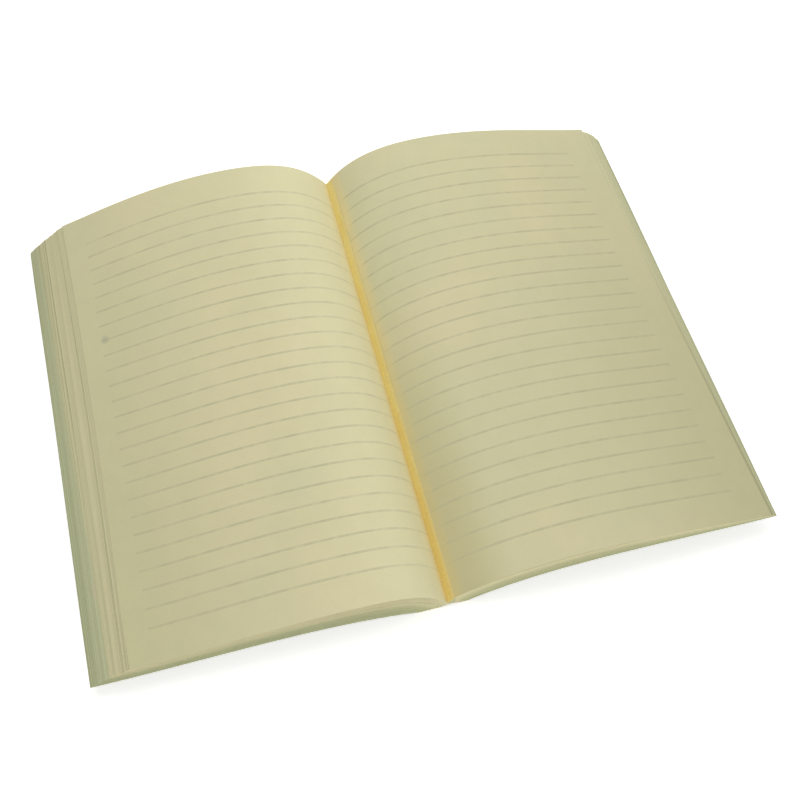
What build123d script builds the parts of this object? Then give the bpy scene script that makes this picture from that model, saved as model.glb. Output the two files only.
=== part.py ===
from build123d import *
import os

# Coverless ruled journal text block, lying open on its spine.
# Millimetres. X runs across the two open pages, with the left page on -X. Y runs from the tail (foot)
# edge at -Y to the head edge at +Y. Z is up, and the spine rests on Z = 0. The outlines are drawn from
# the gutter, and the finished pieces are moved so that the origin is under the middle of the block.

# Leaves
leaf_height = 216.0          # tail edge to head edge
leaf_width = 138.0           # spine to fore-edge, along the paper
# Spine and gutter
spine_left = 12.0            # spine edge, left of the gutter
spine_right = 9.0            # spine edge, right of the gutter
glue_coat = 0.6              # adhesive under the spine
hinge_rise = 1.2             # the spine folds up a little under the gutter
hinge_half_width = 4.0
tail_gutter_height = 3.4     # crease of the gutter over the table
head_gutter_height = 8.7
# Adhesive that shows in the gutter, on the foot of the right page
strip_width = 2.8
strip_rise = 3.3
strip_depth = 0.6

# Heights at the four page ends. The crown is the highest line of the open page, the fan is the height of
# the stepped fore-edge, and the rest are the lowest leaf's: its arch, the place where it has come back
# down, and its fore-edge.
tail_left_crown = 20.7
tail_left_fan = 9.0
tail_left_arch = 7.9
tail_left_landing = 6.8
tail_left_outer = 6.6
tail_right_crown = 20.4
tail_right_fan = 1.8
tail_right_arch = 10.7
tail_right_landing = 9.8
tail_right_outer = 9.2
head_left_crown = 31.3
head_left_fan = 14.8
head_left_arch = 9.5
head_left_landing = 1.9
head_left_outer = 0.5
head_right_crown = 27.8
head_right_fan = 11.2
head_right_arch = 8.5
head_right_landing = 1.3
head_right_outer = 0.5

# Shape of a page between its foot and its crown: share of the reach, share of the rise
gutter_curve = ((0.10, 0.29), (0.30, 0.66))
# How the lowest leaf climbs from the spine to its arch: share of the reach, share of the rise
climb_reach = 0.45
climb_share = 0.75
# Where between crown and fore-edge the page's outer sag is set
haunch_place = 0.6

# Corners of the leaf bundles that fan out at each fore-edge, between the top leaf's edge and the lowest
# leaf's: share of the fan's width, share of its height. The lowest bundle on the left is the thickest,
# with a sloping edge.
tail_left_bundles = ((0.02, 0.10), (0.20, 0.19), (0.21, 0.23), (0.36, 0.31), (0.38, 0.37),
                     (0.48, 0.43), (0.50, 0.49), (0.60, 0.54), (0.97, 0.90))
head_left_bundles = ((0.02, 0.05), (0.16, 0.11), (0.19, 0.17), (0.26, 0.21), (0.29, 0.26),
                     (0.40, 0.33), (0.43, 0.39), (0.53, 0.45), (0.97, 0.90))
tail_right_bundles = ((0.10, 0.25), (0.40, 0.35), (0.55, 0.52), (0.75, 0.62), (0.95, 0.85))
head_right_bundles = ((0.04, 0.14), (0.36, 0.26), (0.48, 0.38), (0.68, 0.56), (0.88, 0.80))


class Half:
    """One opened half of the block, seen in section at one end.

    Each place is a share of the leaf width with a height over the table, and the edge's height is the
    fan's, over the lowest leaf. The top page's places are measured from the gutter, and those of the
    underside from the spine's edge.
    """

    def __init__(self, spine_reach, crown, haunch_drop, edge, arch, landing, outer, bundles):
        self.spine_reach = spine_reach
        self.crown_reach = leaf_width * crown[0]                 # highest line of the open page
        self.crown_height = crown[1]
        self.haunch_drop = haunch_drop                           # share of the fall reached at the haunch
        self.edge_reach = leaf_width * edge[0]                   # fore-edge of the top leaf
        self.edge_height = outer[1] + edge[1]
        self.arch_reach = spine_reach + leaf_width * arch[0]     # highest line of the underside
        self.arch_height = arch[1]
        self.landing_reach = spine_reach + leaf_width * landing[0]
        self.landing_height = landing[1]                         # the lowest leaf has come back down
        self.outer_reach = spine_reach + leaf_width * outer[0]   # fore-edge of the lowest leaf
        self.outer_height = outer[1]
        self.bundles = bundles


tail_left = Half(spine_left, crown=(0.230, tail_left_crown), haunch_drop=0.58,
                 edge=(0.880, tail_left_fan), arch=(0.384, tail_left_arch),
                 landing=(0.674, tail_left_landing), outer=(0.908, tail_left_outer),
                 bundles=tail_left_bundles)
tail_right = Half(spine_right, crown=(0.485, tail_right_crown), haunch_drop=0.57,
                  edge=(0.972, tail_right_fan), arch=(0.413, tail_right_arch),
                  landing=(0.696, tail_right_landing), outer=(0.920, tail_right_outer),
                  bundles=tail_right_bundles)
head_left = Half(spine_left, crown=(0.338, head_left_crown), haunch_drop=0.41,
                 edge=(0.900, head_left_fan), arch=(0.275, head_left_arch),
                 landing=(0.725, head_left_landing), outer=(0.948, head_left_outer),
                 bundles=head_left_bundles)
head_right = Half(spine_right, crown=(0.346, head_right_crown), haunch_drop=0.49,
                  edge=(0.932, head_right_fan), arch=(0.268, head_right_arch),
                  landing=(0.732, head_right_landing), outer=(0.946, head_right_outer),
                  bundles=head_right_bundles)


def page_curve(half, side, foot_x, foot_z):
    """The open page's surface, from its foot over the crown to the fore-edge."""
    rise = half.crown_height - foot_z
    span = half.crown_reach - abs(foot_x)
    points = [(foot_x, foot_z)]
    for reach_share, rise_share in gutter_curve:
        points.append((foot_x + side * span * reach_share, foot_z + rise * rise_share))
    points.append((side * half.crown_reach, half.crown_height))
    fall_reach = half.edge_reach - half.crown_reach
    fall = half.crown_height - half.edge_height
    points.append((side * (half.crown_reach + haunch_place * fall_reach),
                   half.crown_height - half.haunch_drop * fall))
    points.append((side * half.edge_reach, half.edge_height))
    return points


def fan_points(half, side):
    """The stepped fore-edge, from the top leaf's edge down to the lowest leaf."""
    width = half.outer_reach - half.edge_reach
    height = half.edge_height - half.outer_height
    points = [(side * half.edge_reach, half.edge_height)]
    for width_share, height_share in half.bundles:
        points.append((side * (half.edge_reach + width * width_share),
                       half.edge_height - height * height_share))
    return points + [(side * half.outer_reach, half.outer_height)]


def underside_points(half, side):
    """The lowest leaf, from the fore-edge back to the spine."""
    climb_x = half.spine_reach + climb_reach * (half.arch_reach - half.spine_reach)
    climb_z = glue_coat + climb_share * (half.arch_height - glue_coat)
    return [(side * half.outer_reach, half.outer_height),
            (side * half.landing_reach, half.landing_height),
            (side * half.arch_reach, half.arch_height),
            (side * climb_x, climb_z),
            (side * half.spine_reach, glue_coat)]


def at(y, points):
    return [Vector(x, y, z) for x, z in points]


def curve(y, points):
    return Spline(*at(y, points))


def line_run(y, points):
    return [Line(a, b) for a, b in zip(at(y, points), at(y, points)[1:])]


def spine_run(y, lift):
    """The spine's line from left to right, folded up under the gutter. lift raises it whole."""
    middle = strip_width / 2
    left_foot = (middle - hinge_half_width, lift)
    right_foot = (middle + hinge_half_width, lift)
    top = (middle, lift + hinge_rise)
    a, b, c, d, e = at(y, [(-spine_left, lift), left_foot, top, right_foot, (spine_right, lift)])
    return [Line(a, b), ThreePointArc(b, c, d), Line(d, e)]


def strip_corners(gutter_height):
    """Corners of the adhesive strip in section: its foot and head on the surface, then below it."""
    foot = (0.0, gutter_height)
    head = (strip_width, gutter_height + strip_rise)
    return foot, head, (head[0], head[1] - strip_depth), (foot[0], foot[1] - strip_depth)


def pages_section(y, left, right, gutter_height):
    """Closed outline of all leaves at one end of the block."""
    foot, head, under_head, under_foot = strip_corners(gutter_height)
    edges = [curve(y, page_curve(left, -1, *foot)[::-1])]
    edges += line_run(y, [foot, under_foot, under_head, head])
    edges += [curve(y, page_curve(right, 1, *head))]
    edges += line_run(y, fan_points(right, 1))
    edges += [curve(y, underside_points(right, 1))]
    edges += spine_run(y, glue_coat)
    edges += [curve(y, underside_points(left, -1)[::-1])]
    edges += line_run(y, fan_points(left, -1)[::-1])
    return Face(Wire(edges))


def gutter_section(y, gutter_height):
    """The adhesive strip on the foot of the right page, flush with the paper around it."""
    corners = strip_corners(gutter_height)
    return Face(Wire(line_run(y, corners + corners[:1])))


def coat_section(y):
    """The adhesive coat under the spine, bent with it at the gutter."""
    low, high = spine_run(y, 0.0), spine_run(y, glue_coat)
    ends = [Line(low[-1] @ 1, high[-1] @ 1), Line(low[0] @ 0, high[0] @ 0)]
    return Face(Wire(low + high + ends))


tail_y, head_y = -leaf_height / 2, leaf_height / 2
tail_pages = pages_section(tail_y, tail_left, tail_right, tail_gutter_height)
head_pages = pages_section(head_y, head_left, head_right, head_gutter_height)
pages = loft([tail_pages, head_pages], ruled=True)
gutter_glue = loft([gutter_section(tail_y, tail_gutter_height),
                    gutter_section(head_y, head_gutter_height)], ruled=True)
spine_glue = loft([coat_section(tail_y), coat_section(head_y)], ruled=True)

# The lowest leaves reach furthest out, so they set the middle of the block.
left_reach = max(tail_left.outer_reach, head_left.outer_reach)
right_reach = max(tail_right.outer_reach, head_right.outer_reach)
to_middle = Pos((left_reach - right_reach) / 2, 0, 0)

os.makedirs("parts", exist_ok=True)
for name, shape in (("pages", pages), ("gutter_glue", gutter_glue), ("spine_glue", spine_glue)):
    export_step(to_middle * shape, f"parts/{name}.step")
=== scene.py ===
"""Looks of the coverless ruled journal text block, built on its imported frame.

Metres, Z up. X runs across the two open pages and Y from the tail edge to the head edge. Every
leaf is a thin closed sheet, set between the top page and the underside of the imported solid, so
the leaves follow the solid when it changes.
"""
import math
import random

import bpy
import numpy as np
from mathutils import Matrix, Vector


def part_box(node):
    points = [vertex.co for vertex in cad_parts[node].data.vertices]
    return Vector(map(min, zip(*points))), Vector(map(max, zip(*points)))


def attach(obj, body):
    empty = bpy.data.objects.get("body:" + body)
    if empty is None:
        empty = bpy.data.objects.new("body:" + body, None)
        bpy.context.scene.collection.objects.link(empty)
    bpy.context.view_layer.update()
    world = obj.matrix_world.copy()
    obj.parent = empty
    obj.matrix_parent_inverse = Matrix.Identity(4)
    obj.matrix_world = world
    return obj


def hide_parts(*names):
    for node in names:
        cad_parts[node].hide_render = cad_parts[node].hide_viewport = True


MM = 0.001

# Leaves of each half, with the top page counted
LEFT_LEAVES = 72
RIGHT_LEAVES = 48
PAPER_THICKNESS = 0.17 * MM
# Share of the room between two leaves that paper may fill
FILLED = 0.84
# The rim of each leaf takes the colour of its cut edge
RIM = 0.13 * MM
# The adhesive strip in the gutter is this deep, and this many leaves end under it
STRIP_DEPTH = 0.6 * MM
STUB_COUNT = 14
# The top left leaves are bowed in by this much at half their height, down to this level
LEFT_BOW = 1.3 * MM
BOW_LEVEL = 0.40
# How uneven the stack is: share by which the room of a leaf differs, share of that room by which a leaf
# waves along Y, and how far its fore-edge stands back at random and wanders along Y
ROOM_SPREAD = 0.35
WAVE_SHARE = 0.22
EDGE_SCATTER = 0.10 * MM
EDGE_WANDER = 0.14 * MM
# Starts of the random draws
LEFT_SEED = 11
RIGHT_SEED = 23
STUB_SEED = 5
# Faces of a top page and of the leaves below it, and the turn between faces that keeps an edge sharp
PAGE_COLUMNS = 110
PAGE_ROWS = 60
LEAF_COLUMNS = 36
LEAF_ROWS = 12
SHARP_TURN = math.radians(50)
# Where the greener lowest leaves begin and are in full, as levels at the tail, and how much further down
# the stack they begin at the head
LEFT_BAND = (0.42, 0.50, 0.25)
RIGHT_BAND = (0.78, 0.92, 0.0)
EDGE_BAND = (0.05, 0.85, 0.25)

# Ruling: the first line is this far from the head edge, and the lines are this far apart
HEAD_MARGIN = 15.86 * MM
LINE_PITCH = 7.77 * MM
LINE_COUNT = 25
LINE_WIDTH = 0.95 * MM
LINE_BLUR = 0.22 * MM
# The lines stop this far from the fore-edge
LEFT_LINE_MARGIN = 9.6 * MM
RIGHT_LINE_MARGIN = 13.0 * MM
LINE_END_BLUR = 0.3 * MM

# Sizes of the paper's patches, clouds and fibres, and how much the last two and each leaf change its tone
PATCH = 60 * MM
CLOUD = 9 * MM
FIBRE = 0.55 * MM
CLOUD_TONE = 0.012
FIBRE_TONE = 0.020
LEAF_TONE = 0.022
EDGE_LEAF_TONE = 0.10
# Spans run from where a mark begins to where it is in full. These are measured in from the fore-edge:
# the painted shade on the paper, and the painted shaded line along the edge of the left (-1) and right
# (1) page.
FORE_EDGE_SHADE_SPAN = (62 * MM, -4 * MM)
EDGE_LINE_SHADE_SPAN = {-1: (0.7 * MM, 0.3 * MM), 1: (1.5 * MM, 0.3 * MM)}
# These are measured out from the strip: painted light on the left page, painted shade on the right page,
# adhesive that has soaked in, and the ruling of the left page, which is paler near the strip.
STRIP_LIGHT_SPAN = (58 * MM, 0.0)
FOOT_SHADE_SPAN = (27 * MM, 6 * MM)
SOAK_SPAN = {-1: (2.2 * MM, -0.3 * MM), 1: (5.0 * MM, -0.3 * MM)}
DARK_LINE_SPAN = (2 * MM, 45 * MM)
PALE_LINE = 0.45
# And these are shares of the way from the tail edge (0) to the head edge (1).
FORE_EDGE_SHADE_HEIGHTS = (1.3, 0.0)
EDGE_LINE_SHADE_HEIGHTS = (0.75, 0.15)
FOOT_SHADE_HEIGHTS = (0.85, 0.05)
# Over these heights the adhesive stain on the right page deepens with painted shade towards the tail
STAIN_SHADE_HEIGHTS = (0.85, 0.15)
# How much of their colour these take on
FORE_EDGE_SHADE = 0.85
EDGE_LINE_SHADE = 0.60
FOOT_SHADE = 0.85

# Linear colours
PAPER = (0.656, 0.604, 0.372)
PAPER_GREEN = (0.560, 0.570, 0.345)
# Painted shade towards the fore-edge at the tail corner of the top pages
PAPER_PAINTED_SHADE = (0.545, 0.520, 0.300)
# Painted light on the left page beside the strip
PAPER_PAINTED_LIGHT = (0.735, 0.690, 0.430)
# Painted shade on the right page beside the strip, towards its foot
GUTTER_PAINTED_SHADE = (0.530, 0.485, 0.265)
LINE_GREY = (0.492, 0.466, 0.290)
EDGE_LIGHT = (0.700, 0.645, 0.395)
EDGE_DARK = (0.470, 0.485, 0.270)
BAND_GREEN = (0.490, 0.535, 0.335)
RIM_LIGHT = (0.640, 0.600, 0.365)
# Painted shade: dark lines on some leaf rims and along the top pages' fore-edges
RIM_PAINTED_SHADE = (0.270, 0.270, 0.150)
RIM_GREY = (0.370, 0.380, 0.255)
GLUE = (0.775, 0.645, 0.235)
GLUE_DEEP = (0.740, 0.560, 0.170)
GLUE_PALE = (0.700, 0.660, 0.410)
GLUE_STAIN = (0.740, 0.620, 0.300)
# Soaked adhesive stain, darkened with painted shade towards the tail
STAIN_DEEP_AND_SHADE = (0.600, 0.510, 0.240)


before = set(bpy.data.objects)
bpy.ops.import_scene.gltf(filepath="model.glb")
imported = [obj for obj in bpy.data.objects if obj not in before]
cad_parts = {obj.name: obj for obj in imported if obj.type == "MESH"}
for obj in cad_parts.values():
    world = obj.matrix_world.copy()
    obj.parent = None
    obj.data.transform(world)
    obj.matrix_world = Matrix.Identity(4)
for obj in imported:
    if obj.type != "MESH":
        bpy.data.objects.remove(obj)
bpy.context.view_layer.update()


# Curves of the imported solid

# Places closer than this are the same
TINY = 1e-6
# Corners of faces are matched by their places, rounded to steps this fine
KEYS_PER_METRE = 1e7
# What a point loses in height for each metre that it is off the line looked for
FAR_WEIGHT = 1000
# The top page ends where the outline turns by more than this
CORNER_TURN = math.radians(30)


def end_outline(node, y):
    """Ordered (x, z) points of the outline of the solid's flat end at this Y."""
    mesh = node.data
    spots = {}
    uses = {}
    for face in mesh.polygons:
        corners = [mesh.vertices[i].co for i in face.vertices]
        if any(abs(c.y - y) > TINY for c in corners):
            continue
        keys = []
        for c in corners:
            key = (round(c.x * KEYS_PER_METRE), round(c.z * KEYS_PER_METRE))
            spots[key] = (c.x, c.z)
            keys.append(key)
        for a, b in zip(keys, keys[1:] + keys[:1]):
            pair = tuple(sorted((a, b)))
            uses[pair] = uses.get(pair, 0) + 1
    beside = {}
    for (a, b), count in uses.items():
        if count == 1:
            beside.setdefault(a, []).append(b)
            beside.setdefault(b, []).append(a)
    start = min(beside)
    loop = [start]
    before = None
    here = start
    while True:
        onward = [k for k in beside[here] if k != before]
        before, here = here, onward[0]
        if here == start:
            break
        loop.append(here)
    return np.array([spots[k] for k in loop])


def turned_to(loop, start, side):
    """The loop from this point on, in the direction that leads over the page to the fore-edge."""
    ahead = np.roll(loop, -start, axis=0)
    back = np.roll(loop[::-1], -(len(loop) - 1 - start), axis=0)
    return ahead if side * (ahead[1, 0] - ahead[0, 0]) > 0 else back


def half_outline(loop, side, foot_x, spine_x):
    """The top page, the fan of the fore-edge and the underside of one half, as three runs of points."""
    # The highest of the points at foot_x
    foot = np.argmax(loop[:, 1] - FAR_WEIGHT * np.abs(loop[:, 0] - foot_x))
    line = turned_to(loop, foot, side)
    step = np.diff(line, axis=0)
    heading = np.unwrap(np.arctan2(step[:, 1], step[:, 0]))
    corner = 1 + int(np.argmax(np.abs(np.diff(heading)) > CORNER_TURN))
    reach = side * line[:, 0]
    tip = int(np.flatnonzero(reach > reach.max() - TINY)[-1])
    inner = tip + int(np.argmax(reach[tip:] <= side * spine_x + TINY))
    return line[:corner + 1], line[corner:tip + 1], line[tip:inner + 1][::-1]


def along(points, shares):
    """Points at these shares of a run's length. Beyond its ends the run goes straight on."""
    step = np.linalg.norm(np.diff(points, axis=0), axis=1)
    far = np.concatenate([[0], np.cumsum(step)])
    want = np.asarray(shares) * far[-1]
    found = np.stack([np.interp(want, far, points[:, i]) for i in range(2)], axis=-1)
    last_steps = points[-1] - points[-4]
    outward = last_steps / np.linalg.norm(last_steps)
    over = np.clip(want - far[-1], 0, None)
    return found + over[..., None] * outward


class Half:
    """One side of the open block, from the gutter or spine (u = 0) to the fore-edge (u = 1)."""

    def __init__(self, side, foot_x, spine_x, bow):
        self.side = side
        self.bow = bow
        self.ends = []
        for y in (tail_y, head_y):
            loop = end_outline(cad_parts["pages"], y)
            self.ends.append(half_outline(loop, side, foot_x, spine_x))
        top, _, _ = self.ends[0]
        self.length = np.linalg.norm(np.diff(top, axis=0), axis=1).sum()

    def reach_share(self, level, v):
        """How far out the leaf at this level ends, as a share of the fan's width, at share v of Y."""
        shares = []
        for _, fan, _ in self.ends:
            height = (fan[0, 1] - fan[:, 1]) / (fan[0, 1] - fan[-1, 1])
            width = (fan[:, 0] - fan[0, 0]) / (fan[-1, 0] - fan[0, 0])
            shares.append(np.interp(level, height, width))
        return shares[0] * (1 - v) + shares[1] * v

    def fan_width(self, v):
        widths = [abs(fan[-1, 0] - fan[0, 0]) for _, fan, _ in self.ends]
        return widths[0] * (1 - v) + widths[1] * v

    def surface(self, u, v, level):
        """Points at shares u along the leaf, v along Y, and level down through the stack."""
        at_ends = []
        for top, _, under in self.ends:
            upper = along(top, u)
            lower = along(under, u)
            at_ends.append(upper * (1 - level[..., None]) + lower * level[..., None])
        flat = at_ends[0] * (1 - v[..., None]) + at_ends[1] * v[..., None]
        x = np.clip(flat[..., 0], low_end.x, high_end.x)
        y = tail_y + (head_y - tail_y) * v
        return np.stack([x, y, flat[..., 1]], axis=-1)


low_end, high_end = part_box("pages")
tail_y, head_y = low_end.y, high_end.y
strip_low, strip_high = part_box("gutter_glue")
spine_low, spine_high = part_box("spine_glue")
# The line of the spine's upper face, on which every leaf stands
tail_loop = end_outline(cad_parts["pages"], tail_y)
over_spine = (tail_loop[:, 0] > spine_low.x - TINY) & (tail_loop[:, 0] < spine_high.x + TINY)
spine_line = tail_loop[over_spine & (tail_loop[:, 1] < spine_high.z + TINY)]
spine_line = spine_line[np.argsort(spine_line[:, 0])]
left = Half(-1, strip_low.x, spine_low.x, LEFT_BOW)
right = Half(1, strip_high.x, spine_high.x, 0.0)


# Leaves

def rooted(grid):
    """The grid with one more column at its inner end, which stands on the spine."""
    root = grid[:, :1].copy()
    root[..., 2] = np.minimum(root[..., 2], np.interp(root[..., 0], spine_line[:, 0], spine_line[:, 1]))
    return np.concatenate([root, grid], axis=1)


def sheet(half, level, next_level, columns, rows, reach_jitter=0.0, wave=None):
    """Vertices of one closed leaf: its top grid, then its bottom grid."""
    u_share = np.linspace(0, 1, columns)
    # The grid is closer near the gutter, where the page bends most, and near the fore-edge. Its last
    # column is the leaf's rim.
    u_share = 0.5 * u_share + 0.5 * (0.5 - 0.5 * np.cos(math.pi * u_share))
    u_share = np.append(u_share * (1 - RIM / half.length), 1)
    v_share = np.linspace(0, 1, rows + 1)
    v, u = np.meshgrid(v_share, u_share, indexing="ij")
    shift = (half.reach_share(level, v_share) - level) * half.fan_width(v_share) / half.length
    bow = half.bow * max(0, 1 - level / BOW_LEVEL) * 4 * v_share * (1 - v_share)
    u = u * (1 + shift + (reach_jitter - bow) / half.length)[:, None]
    drift = 0 if wave is None else wave[:, None] * u ** 3
    here = np.clip(np.full_like(u, level) + drift, 0, 1)
    below = np.clip(np.full_like(u, next_level) + drift, 0, 1)
    top = half.surface(u, v, here)
    lower = half.surface(u, v, below)
    gap = lower - top
    room = np.linalg.norm(gap, axis=-1, keepdims=True)
    share = np.minimum(FILLED, PAPER_THICKNESS / np.maximum(room, 1e-9))
    if next_level >= 1:
        # The lowest leaf hangs from the underside of the solid instead.
        return rooted(lower - gap * share), rooted(lower)
    return rooted(top), rooted(top + gap * share)


def sheet_faces(rows, columns, start, flip):
    """Faces of one closed leaf, with the material of each: 0 for paper, 1 for a cut edge, 2 for a rim."""
    wide = columns + 1
    count = (rows + 1) * wide
    grid = np.arange(count).reshape(rows + 1, wide) + start
    under = grid + count
    faces = []
    kinds = []
    for i in range(rows):
        for j in range(columns):
            quad = (grid[i, j], grid[i, j + 1], grid[i + 1, j + 1], grid[i + 1, j])
            base = (under[i, j], under[i + 1, j], under[i + 1, j + 1], under[i, j + 1])
            faces += [quad, base]
            kinds += [2 if j == columns - 1 else 0, 0]
    for j in range(columns):
        faces.append((grid[0, j], under[0, j], under[0, j + 1], grid[0, j + 1]))
        faces.append((grid[rows, j], grid[rows, j + 1], under[rows, j + 1], under[rows, j]))
        kinds += [1, 1]
    for i in range(rows):
        faces.append((grid[i, 0], grid[i + 1, 0], under[i + 1, 0], under[i, 0]))
        faces.append((grid[i, columns], under[i, columns], under[i + 1, columns], grid[i + 1, columns]))
        kinds += [1, 1]
    if flip:
        faces = [f[::-1] for f in faces]
    return [tuple(int(i) for i in f) for f in faces], kinds


def stubs(count, rng):
    """The inner edges of the leaves that stand under the adhesive strip, between spine and strip."""
    # The strip's surface at its left and right edge, each at the tail and at the head
    (tail_low, head_low), (tail_high, head_high) = ([top[0, 1] for top, _, _ in half.ends]
                                                    for half in (left, right))
    pitch = (strip_high.x - strip_low.x) / count
    leaves = []
    for k in range(count):
        faces = []
        for x in (strip_low.x + k * pitch, strip_low.x + (k + FILLED) * pitch):
            share = (x - strip_low.x) / (strip_high.x - strip_low.x)
            floor = np.interp(x, spine_line[:, 0], spine_line[:, 1])
            rows = []
            for y, low, high in ((tail_y, tail_low, tail_high), (head_y, head_low, head_high)):
                under_strip = low + (high - low) * share - STRIP_DEPTH
                rows.append([(x, y, floor), (x, y, under_strip)])
            faces.append(np.array(rows))
        leaves.append((faces[1], faces[0], rng.uniform(-1, 1), 0.5))
    return leaves


def leaf_object(name, half, leaves, materials):
    """One object of closed leaves. leaves holds (top grid, bottom grid, tone, level)."""
    points = []
    faces = []
    kinds = []
    tones = []
    levels = []
    for top, bottom, tone, level in leaves:
        rows, columns = top.shape[0] - 1, top.shape[1] - 1
        new, kind = sheet_faces(rows, columns, len(points), half.side < 0)
        points += [tuple(p) for p in top.reshape(-1, 3)] + [tuple(p) for p in bottom.reshape(-1, 3)]
        faces += new
        kinds += kind
        tones += [tone] * len(new)
        levels += [level] * len(new)
    mesh = bpy.data.meshes.new(name)
    mesh.from_pydata(points, [], faces)
    for m in materials:
        mesh.materials.append(m)
    mesh.polygons.foreach_set("material_index", kinds)
    mesh.polygons.foreach_set("use_smooth", [k != 1 for k in kinds])
    for attribute, numbers in (("leaf_tone", tones), ("leaf_level", levels)):
        mesh.attributes.new(attribute, "FLOAT", "FACE").data.foreach_set("value", numbers)
    mesh.validate()
    obj = bpy.data.objects.new(name, mesh)
    bpy.context.scene.collection.objects.link(obj)
    sharp = obj.modifiers.new("edges", "EDGE_SPLIT")
    sharp.split_angle = SHARP_TURN
    return obj


def levels_of(count, rng):
    """Uneven levels from the top page (0) to the underside (1), one more than there are leaves."""
    rooms = [1 + ROOM_SPREAD * rng.uniform(-1, 1) for _ in range(count)]
    marks = np.concatenate([[0], np.cumsum(rooms)])
    return marks / marks[-1]


def stack(half, count, seed, rows):
    """The leaves below the top page."""
    rng = random.Random(seed)
    levels = levels_of(count, rng)
    spread = np.linspace(0, 1, rows + 1)
    leaves = []
    phase = rng.uniform(0, 6)
    for k in range(1, count):
        # One draw is passed over, so that the ones after it stay in place.
        rng.random()
        room = min(levels[k] - levels[k - 1], levels[min(k + 1, count)] - levels[k])
        wave = WAVE_SHARE * room * np.sin(2 * math.pi * (0.8 * spread + phase + 0.02 * k))
        if k == count - 1:
            # The lowest leaf lies on the underside of the solid.
            wave = None
        # The fore-edge of each leaf wanders a little along the page's height.
        wander = np.sin(2 * math.pi * (1.1 * spread + 0.5 * phase + 0.05 * k))
        jitter = -abs(EDGE_SCATTER * rng.uniform(-1, 1)) + EDGE_WANDER * (wander - 1)
        top, bottom = sheet(half, levels[k], levels[k + 1], LEAF_COLUMNS, rows, jitter, wave)
        leaves.append((top, bottom, rng.uniform(-1, 1), levels[k]))
    return leaves, levels


# Materials

class Graph:
    """A short way to write node trees."""

    def __init__(self, name):
        self.material = bpy.data.materials.new(name)
        self.material.use_nodes = True
        self.tree = self.material.node_tree
        self.tree.nodes.clear()
        out = self.tree.nodes.new("ShaderNodeOutputMaterial")
        self.shader = self.tree.nodes.new("ShaderNodeBsdfPrincipled")
        self.link(self.shader.outputs[0], out.inputs["Surface"])
        self.place = self.tree.nodes.new("ShaderNodeTexCoord").outputs["Object"]
        split = self.tree.nodes.new("ShaderNodeSeparateXYZ")
        self.link(self.place, split.inputs[0])
        self.x, self.y, _ = split.outputs

    def link(self, a, b):
        self.tree.links.new(a, b)

    def put(self, socket, thing):
        if isinstance(thing, bpy.types.NodeSocket):
            self.link(thing, socket)
        elif isinstance(thing, tuple) and len(thing) == 3 and socket.type == "RGBA":
            socket.default_value = thing + (1.0,)
        else:
            socket.default_value = thing

    def math(self, operation, *inputs, clamp=False):
        node = self.tree.nodes.new("ShaderNodeMath")
        node.operation = operation
        node.use_clamp = clamp
        for socket, thing in zip(node.inputs, inputs):
            self.put(socket, thing)
        return node.outputs[0]

    def ramp(self, thing, low, high, to_low=0.0, to_high=1.0):
        """thing going smoothly from to_low at low to to_high at high."""
        node = self.tree.nodes.new("ShaderNodeMapRange")
        node.interpolation_type = "SMOOTHSTEP"
        for socket, number in zip(node.inputs, (thing, low, high, to_low, to_high)):
            self.put(socket, number)
        return node.outputs[0]

    def noise(self, size, detail=3.0, rough=0.5, stretch=None):
        """Noise with patches about this many metres wide, centred on 0.5."""
        node = self.tree.nodes.new("ShaderNodeTexNoise")
        node.inputs["Scale"].default_value = 1 / size
        node.inputs["Detail"].default_value = detail
        node.inputs["Roughness"].default_value = rough
        place = self.place
        if stretch:
            scaled = self.tree.nodes.new("ShaderNodeMapping")
            scaled.inputs["Scale"].default_value = stretch
            self.link(place, scaled.inputs["Vector"])
            place = scaled.outputs[0]
        self.link(place, node.inputs["Vector"])
        return node.outputs[0]

    def mix(self, share, a, b):
        node = self.tree.nodes.new("ShaderNodeMix")
        node.data_type = "RGBA"
        self.put(node.inputs[0], share)
        self.put(node.inputs[6], a)
        self.put(node.inputs[7], b)
        return node.outputs[2]

    def darker(self, colour, share):
        """colour times a number."""
        node = self.tree.nodes.new("ShaderNodeVectorMath")
        node.operation = "SCALE"
        self.link(colour, node.inputs[0])
        self.put(node.inputs["Scale"], share)
        return node.outputs[0]

    def attribute(self, name):
        node = self.tree.nodes.new("ShaderNodeAttribute")
        node.attribute_name = name
        return node.outputs["Fac"]

    def low_leaves(self, share, start, end, drop):
        """1 on the lowest leaves, from a level that is lower in the stack towards the head by drop."""
        level = self.math("SUBTRACT", self.attribute("leaf_level"), self.math("MULTIPLY", share, drop))
        return self.ramp(level, start, end)

    def up_the_page(self):
        """0 at the tail edge and 1 at the head edge."""
        return self.math("DIVIDE", self.math("SUBTRACT", self.y, tail_y), head_y - tail_y)

    def finish(self, colour, shade, roughness, gloss):
        """Connect the colour, dimmed by shade, and set the surface."""
        self.link(self.darker(colour, shade), self.shader.inputs["Base Color"])
        self.put(self.shader.inputs["Roughness"], roughness)
        self.put(self.shader.inputs["Specular IOR Level"], gloss)

    def bump(self, height, depth, strength):
        node = self.tree.nodes.new("ShaderNodeBump")
        node.inputs["Distance"].default_value = depth
        node.inputs["Strength"].default_value = strength
        self.link(height, node.inputs["Height"])
        self.link(node.outputs[0], self.shader.inputs["Normal"])

    def spot(self, centre, size):
        """1 at a point on the page, falling to 0 at this distance in X and Y."""
        dx = self.math("DIVIDE", self.math("SUBTRACT", self.x, centre[0]), size[0])
        dy = self.math("DIVIDE", self.math("SUBTRACT", self.y, centre[1]), size[1])
        far = self.math("ADD", self.math("MULTIPLY", dx, dx), self.math("MULTIPLY", dy, dy))
        return self.ramp(far, 1.0, 0.0)


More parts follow.
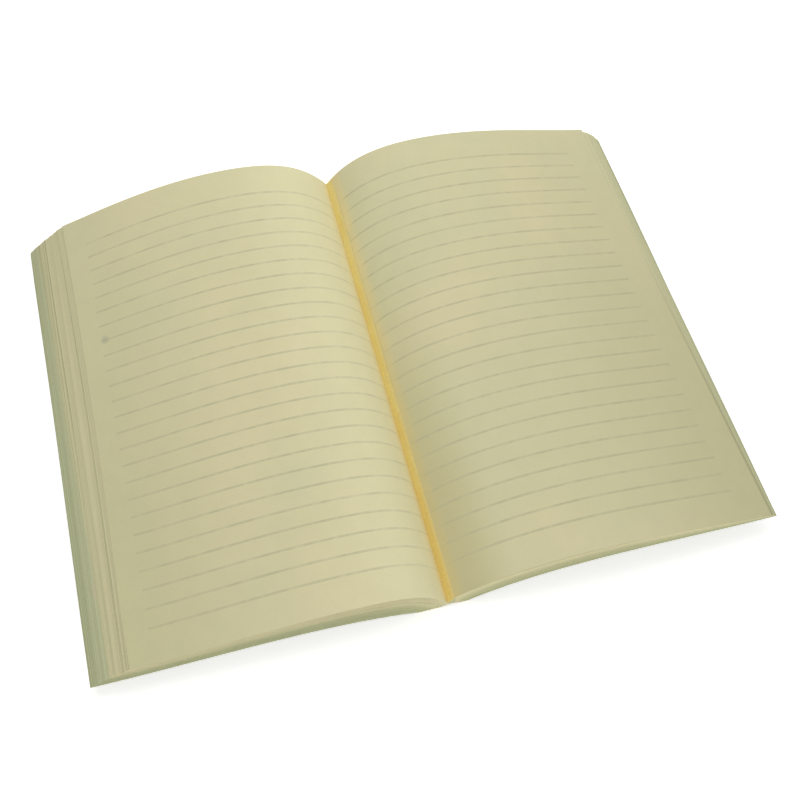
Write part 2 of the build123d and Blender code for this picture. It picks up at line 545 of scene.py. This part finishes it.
def in_from_edge(g, half, share):
    """Distance along X in from the top page's fore-edge, at this share of Y."""
    tail_edge, head_edge = (top[-1, 0] for top, _, _ in half.ends)
    slope = g.math("MULTIPLY", share, head_edge - tail_edge)
    return g.math("MULTIPLY", g.math("SUBTRACT", g.math("ADD", slope, tail_edge), g.x), half.side)


def out_from_strip(g, half):
    """Distance along X from the adhesive strip towards the fore-edge."""
    strip_x = strip_low.x if half.side < 0 else strip_high.x
    return g.math("MULTIPLY", g.math("SUBTRACT", g.x, strip_x), half.side)


def ruled_lines(g, inside, margin):
    """1 on the ruled lines of a page, which stop at the margin."""
    # Distance from the nearest line, in pitches from the first line down
    rows_down = g.math("DIVIDE", g.math("SUBTRACT", head_y - HEAD_MARGIN, g.y), LINE_PITCH)
    nearest = g.math("ROUND", rows_down)
    off = g.math("MULTIPLY", g.math("ABSOLUTE", g.math("SUBTRACT", rows_down, nearest)), LINE_PITCH)
    line = g.ramp(off, 0.5 * LINE_WIDTH + LINE_BLUR, 0.5 * LINE_WIDTH - LINE_BLUR)
    line = g.math("MULTIPLY", line, g.math("GREATER_THAN", rows_down, -0.5))
    line = g.math("MULTIPLY", line, g.math("LESS_THAN", rows_down, LINE_COUNT - 0.5))
    return g.math("MULTIPLY", line, g.ramp(inside, margin - LINE_END_BLUR, margin + LINE_END_BLUR))


def open_page(g, colour, half, margin, share, cloudy):
    """The colour of a top page: paper with painted shade towards and along the fore-edge, painted light
    and shade beside the strip, its ruling, and adhesive beside the strip.
    """
    inside = in_from_edge(g, half, share)
    line = ruled_lines(g, inside, margin)
    patchy = g.ramp(g.noise(5 * MM, 3.0, 0.6), 0.30, 0.70, 0.35, 0.90)
    # Painted shade darkens the paper towards the tail corner at the fore-edge, and a painted shaded line
    # runs along the fore-edge.
    fore_edge_shade = g.math("MULTIPLY", g.ramp(inside, *FORE_EDGE_SHADE_SPAN), g.ramp(share, *FORE_EDGE_SHADE_HEIGHTS))
    colour = g.mix(g.math("MULTIPLY", fore_edge_shade, FORE_EDGE_SHADE), colour, PAPER_PAINTED_SHADE)
    edge_line_shade = g.math("MULTIPLY", g.ramp(inside, *EDGE_LINE_SHADE_SPAN[half.side]), g.ramp(share, *EDGE_LINE_SHADE_HEIGHTS))
    colour = g.mix(g.math("MULTIPLY", edge_line_shade, EDGE_LINE_SHADE), colour, RIM_PAINTED_SHADE)
    # Beside the strip the left page is lightened with painted light, the right page is darkened towards
    # its foot with painted shade, and adhesive has soaked into both.
    away = out_from_strip(g, half)
    if half.side < 0:
        colour = g.mix(g.ramp(away, *STRIP_LIGHT_SPAN), colour, PAPER_PAINTED_LIGHT)
        line = g.math("MULTIPLY", line, g.ramp(away, *DARK_LINE_SPAN, PALE_LINE, 1.0))
        stain_and_shade = GLUE_STAIN
    else:
        # Painted shade towards the foot of the right page
        foot = g.math("MULTIPLY", g.ramp(away, *FOOT_SHADE_SPAN), g.ramp(share, *FOOT_SHADE_HEIGHTS))
        colour = g.mix(g.math("MULTIPLY", foot, FOOT_SHADE), colour, GUTTER_PAINTED_SHADE)
        # The soaked adhesive is a real stain; on the right page it deepens with painted shade towards the
        # tail.
        stain_and_shade = g.mix(g.ramp(share, *STAIN_SHADE_HEIGHTS), GLUE_STAIN, STAIN_DEEP_AND_SHADE)
    colour = g.mix(g.math("MULTIPLY", line, patchy), colour, LINE_GREY)
    near_strip = g.ramp(away, *SOAK_SPAN[half.side])
    soaked = g.math("MULTIPLY", near_strip, g.ramp(cloudy, 0.30, 0.65, 0.6, 1.0))
    return g.mix(soaked, colour, stain_and_shade)


def paper(name, half, margin=None, marks=(), band=None):
    """Cream paper with fibre and faint mottling. Only a top page has a margin, with its ruling."""
    g = Graph(name)
    cloudy = g.noise(CLOUD, 4.0, 0.55)
    fibre = g.noise(FIBRE, 4.0, 0.65)
    share = g.up_the_page()
    colour = g.mix(g.ramp(g.noise(PATCH, 2.0), 0.35, 0.70), PAPER, PAPER_GREEN)
    colour = g.mix(0.55, colour, PAPER)
    if band:
        green = g.mix(g.ramp(g.noise(16 * MM, 3.0), 0.3, 0.7), BAND_GREEN, PAPER_GREEN)
        colour = g.mix(g.low_leaves(share, *band), colour, green)
    if margin:
        colour = open_page(g, colour, half, margin, share, cloudy)
    for centre, size, mark, strength in marks:
        soft = g.math("MULTIPLY", g.spot(centre, size), g.ramp(cloudy, 0.35, 0.65, 0.6, 1.0))
        colour = g.mix(g.math("MULTIPLY", soft, strength), colour, mark)
    tone = g.math("ADD", g.ramp(cloudy, 0.30, 0.70, -CLOUD_TONE, CLOUD_TONE),
                  g.ramp(fibre, 0.25, 0.75, -FIBRE_TONE, FIBRE_TONE))
    leaf = g.math("MULTIPLY", g.attribute("leaf_tone"), LEAF_TONE)
    g.finish(colour, g.math("ADD", g.math("ADD", tone, leaf), 1.0), 0.92, 0.22)
    g.bump(fibre, 0.03 * MM, 0.5)
    return g.material


def cut_edge(name, light, deep, band, shade_streak=None):
    """The cut edges of the leaves, greener and darker down the stack. Some leaves may show dark streaks
    of painted shade between leaves.
    """
    g = Graph(name)
    nick = g.noise(0.6 * MM, 3.0, 0.6)
    if shade_streak:
        light = g.mix(g.ramp(g.attribute("leaf_tone"), 0.45, 0.75), light, shade_streak)
    colour = g.mix(g.low_leaves(g.up_the_page(), *band), light, deep)
    leaf = g.math("MULTIPLY", g.attribute("leaf_tone"), EDGE_LEAF_TONE)
    shade = g.math("ADD", g.math("ADD", g.ramp(nick, 0.25, 0.75, -0.05, 0.05), leaf), 1.0)
    g.finish(colour, shade, 0.95, 0.15)
    g.bump(nick, 0.05 * MM, 0.5)
    return g.material


def adhesive(name, thin, thick, runs_out=0.0):
    """Dried adhesive, uneven in depth, with a soft gloss. It may run out thin over the right page."""
    g = Graph(name)
    run = g.noise(9 * MM, 4.0, 0.55, stretch=(1.0, 0.35, 1.0))
    grain = g.noise(0.9 * MM, 3.0, 0.6)
    towards_tail = g.ramp(g.y, 0.6 * head_y, tail_y, 0.0, 0.55)
    deep = g.math("ADD", g.ramp(run, 0.38, 0.68, 0.0, 0.6), towards_tail, clamp=True)
    colour = g.mix(deep, thin, thick)
    across_strip = g.ramp(g.x, 0.5 * (strip_low.x + strip_high.x), strip_high.x, 0.0, runs_out)
    colour = g.mix(across_strip, colour, GLUE_STAIN)
    g.finish(colour, g.ramp(grain, 0.25, 0.75, 0.94, 1.05), g.ramp(run, 0.3, 0.7, 0.42, 0.58), 0.40)
    g.bump(run, 0.25 * MM, 0.6)
    return g.material


# Marks: place on the page, size in X and Y, colour and strength
smudge = ((-110.4 * MM, 38 * MM), (2.4 * MM, 2.6 * MM), (0.36, 0.36, 0.26), 0.55)
rose_spot = ((-129.8 * MM, -72.5 * MM), (1.8 * MM, 6.0 * MM), (0.74, 0.52, 0.42), 0.80)

page_left = paper("page_paper_left", left, margin=LEFT_LINE_MARGIN, marks=(smudge,))
page_right = paper("page_paper_right", right, margin=RIGHT_LINE_MARGIN)
leaf_left = paper("leaf_paper_left", left, marks=(rose_spot,), band=LEFT_BAND)
leaf_right = paper("leaf_paper_right", right, band=RIGHT_BAND)
edge_paper = cut_edge("cut_edge_paper", EDGE_LIGHT, EDGE_DARK, EDGE_BAND)
# The left rims carry dark streaks of painted shade on some leaves
rim_left = cut_edge("rim_paper_left", RIM_LIGHT, BAND_GREEN, LEFT_BAND, RIM_PAINTED_SHADE)
rim_right = cut_edge("rim_paper_right", PAPER_GREEN, RIM_GREY, RIGHT_BAND)
glues = {"gutter_glue": adhesive("binding_glue_amber", GLUE, GLUE_DEEP, 0.6),
         "spine_glue": adhesive("binding_glue_pale", GLUE_PALE, PAPER)}


# Pieces

for name, half, count, page_material, leaf_material, rim, seed in (
        ("left", left, LEFT_LEAVES, page_left, leaf_left, rim_left, LEFT_SEED),
        ("right", right, RIGHT_LEAVES, page_right, leaf_right, rim_right, RIGHT_SEED)):
    leaves, levels = stack(half, count, seed, LEAF_ROWS)
    top, bottom = sheet(half, 0.0, levels[1], PAGE_COLUMNS, PAGE_ROWS)
    page = leaf_object(name + "_page", half, [(top, bottom, 0.0, 0.0)], [page_material, edge_paper, rim])
    inner = leaf_object(name + "_leaves", half, leaves, [leaf_material, edge_paper, rim])
    for piece in (page, inner):
        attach(piece, "root")
        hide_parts("pages")

gutter_leaves = stubs(STUB_COUNT, random.Random(STUB_SEED))
roots = leaf_object("gutter_leaves", left, gutter_leaves, [leaf_right, edge_paper, edge_paper])
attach(roots, "root")
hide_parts("pages")

for node, glue in glues.items():
    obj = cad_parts[node]
    obj.data.materials.clear()
    obj.data.materials.append(glue)


# Floor, light and camera

def plain_material(name, colour, glow):
    """A pale surface that also glows a little to the camera, so that it reads as white."""
    m = bpy.data.materials.new(name)
    m.use_nodes = True
    tree = m.node_tree
    tree.nodes.clear()
    out = tree.nodes.new("ShaderNodeOutputMaterial")
    surface = tree.nodes.new("ShaderNodeBsdfDiffuse")
    surface.inputs["Color"].default_value = colour + (1.0,)
    light = tree.nodes.new("ShaderNodeEmission")
    path = tree.nodes.new("ShaderNodeLightPath")
    level = tree.nodes.new("ShaderNodeMath")
    level.operation = "MULTIPLY"
    level.inputs[1].default_value = glow
    tree.links.new(path.outputs["Is Camera Ray"], level.inputs[0])
    tree.links.new(level.outputs[0], light.inputs["Strength"])
    both = tree.nodes.new("ShaderNodeAddShader")
    tree.links.new(surface.outputs[0], both.inputs[0])
    tree.links.new(light.outputs[0], both.inputs[1])
    tree.links.new(both.outputs[0], out.inputs["Surface"])
    return m


FLOOR_REACH = 6.0
FLOOR_WHITE = (0.80, 0.80, 0.79)
FLOOR_GLOW = 0.56
# Light from all round, and how bright the surroundings look in themselves
AMBIENT = 0.35
SURROUNDINGS = 1.0

floor_mesh = bpy.data.meshes.new("floor")
corners = [(x * FLOOR_REACH, y * FLOOR_REACH, 0) for x, y in ((-1, -1), (1, -1), (1, 1), (-1, 1))]
floor_mesh.from_pydata(corners, [], [(0, 1, 2, 3)])
floor_mesh.materials.append(plain_material("floor_white", FLOOR_WHITE, FLOOR_GLOW))
floor = bpy.data.objects.new("floor", floor_mesh)
bpy.context.scene.collection.objects.link(floor)

world = bpy.data.worlds.new("studio")
bpy.context.scene.world = world
world.use_nodes = True
tree = world.node_tree
tree.nodes.clear()
world_out = tree.nodes.new("ShaderNodeOutputWorld")
ambient = tree.nodes.new("ShaderNodeBackground")
ambient.inputs["Color"].default_value = (1.0, 1.0, 1.0, 1.0)
path = tree.nodes.new("ShaderNodeLightPath")
seen = tree.nodes.new("ShaderNodeMath")
seen.operation = "ADD"
tree.links.new(path.outputs["Is Camera Ray"], seen.inputs[0])
tree.links.new(path.outputs["Is Glossy Ray"], seen.inputs[1])
level = tree.nodes.new("ShaderNodeMapRange")
level.inputs["To Min"].default_value = AMBIENT
level.inputs["To Max"].default_value = SURROUNDINGS
tree.links.new(seen.outputs[0], level.inputs["Value"])
tree.links.new(level.outputs[0], ambient.inputs["Strength"])
tree.links.new(ambient.outputs[0], world_out.inputs["Surface"])


BLOCK = Vector((0.0, 0.0, 0.0))


def lamp(name, place, size, power):
    """A square lamp of this size in metres, aimed at the block and out of the camera's sight."""
    data = bpy.data.lights.new(name, "AREA")
    data.shape = "SQUARE"
    data.size = size
    data.energy = power
    obj = bpy.data.objects.new(name, data)
    bpy.context.scene.collection.objects.link(obj)
    obj.location = place
    obj.rotation_euler = (BLOCK - Vector(place)).to_track_quat("-Z", "Y").to_euler()
    obj.visible_camera = False


lamp("soft_back", (0.25, 0.60, 0.35), 0.30, 1.86)
lamp("soft_right", (1.20, 0.0, 0.50), 0.50, 0.37)
lamp("soft_front", (0.0, -0.50, 0.12), 0.30, 1.09)
lamp("soft_top", (-0.10, 0.10, 0.60), 0.30, 1.43)

# The camera found from the ruled lines and the outline in the photograph, for a square picture. Its
# focal length was found in widths of the picture.
SENSOR_WIDTH = 36
FOCAL_LENGTH = 1121.2 / 800
CAMERA_PLACE = (-53.06 * MM, -254.99 * MM, 416.63 * MM)
CAMERA_ACROSS = (0.96843, -0.24922, -0.00504)
CAMERA_AHEAD = (0.12389, 0.49876, -0.85784)

camera_data = bpy.data.cameras.new("camera")
camera_data.sensor_width = SENSOR_WIDTH
camera_data.lens = SENSOR_WIDTH * FOCAL_LENGTH
camera_data.clip_start = 0.01
camera = bpy.data.objects.new("camera", camera_data)
bpy.context.scene.collection.objects.link(camera)
across = Vector(CAMERA_ACROSS).normalized()
backward = -Vector(CAMERA_AHEAD).normalized()
upward = backward.cross(across).normalized()
across = upward.cross(backward)
turn = Matrix((across, upward, backward)).transposed()
camera.matrix_world = Matrix.Translation(CAMERA_PLACE) @ turn.to_4x4()
bpy.context.scene.camera = camera

bpy.context.scene.view_settings.view_transform = "Standard"
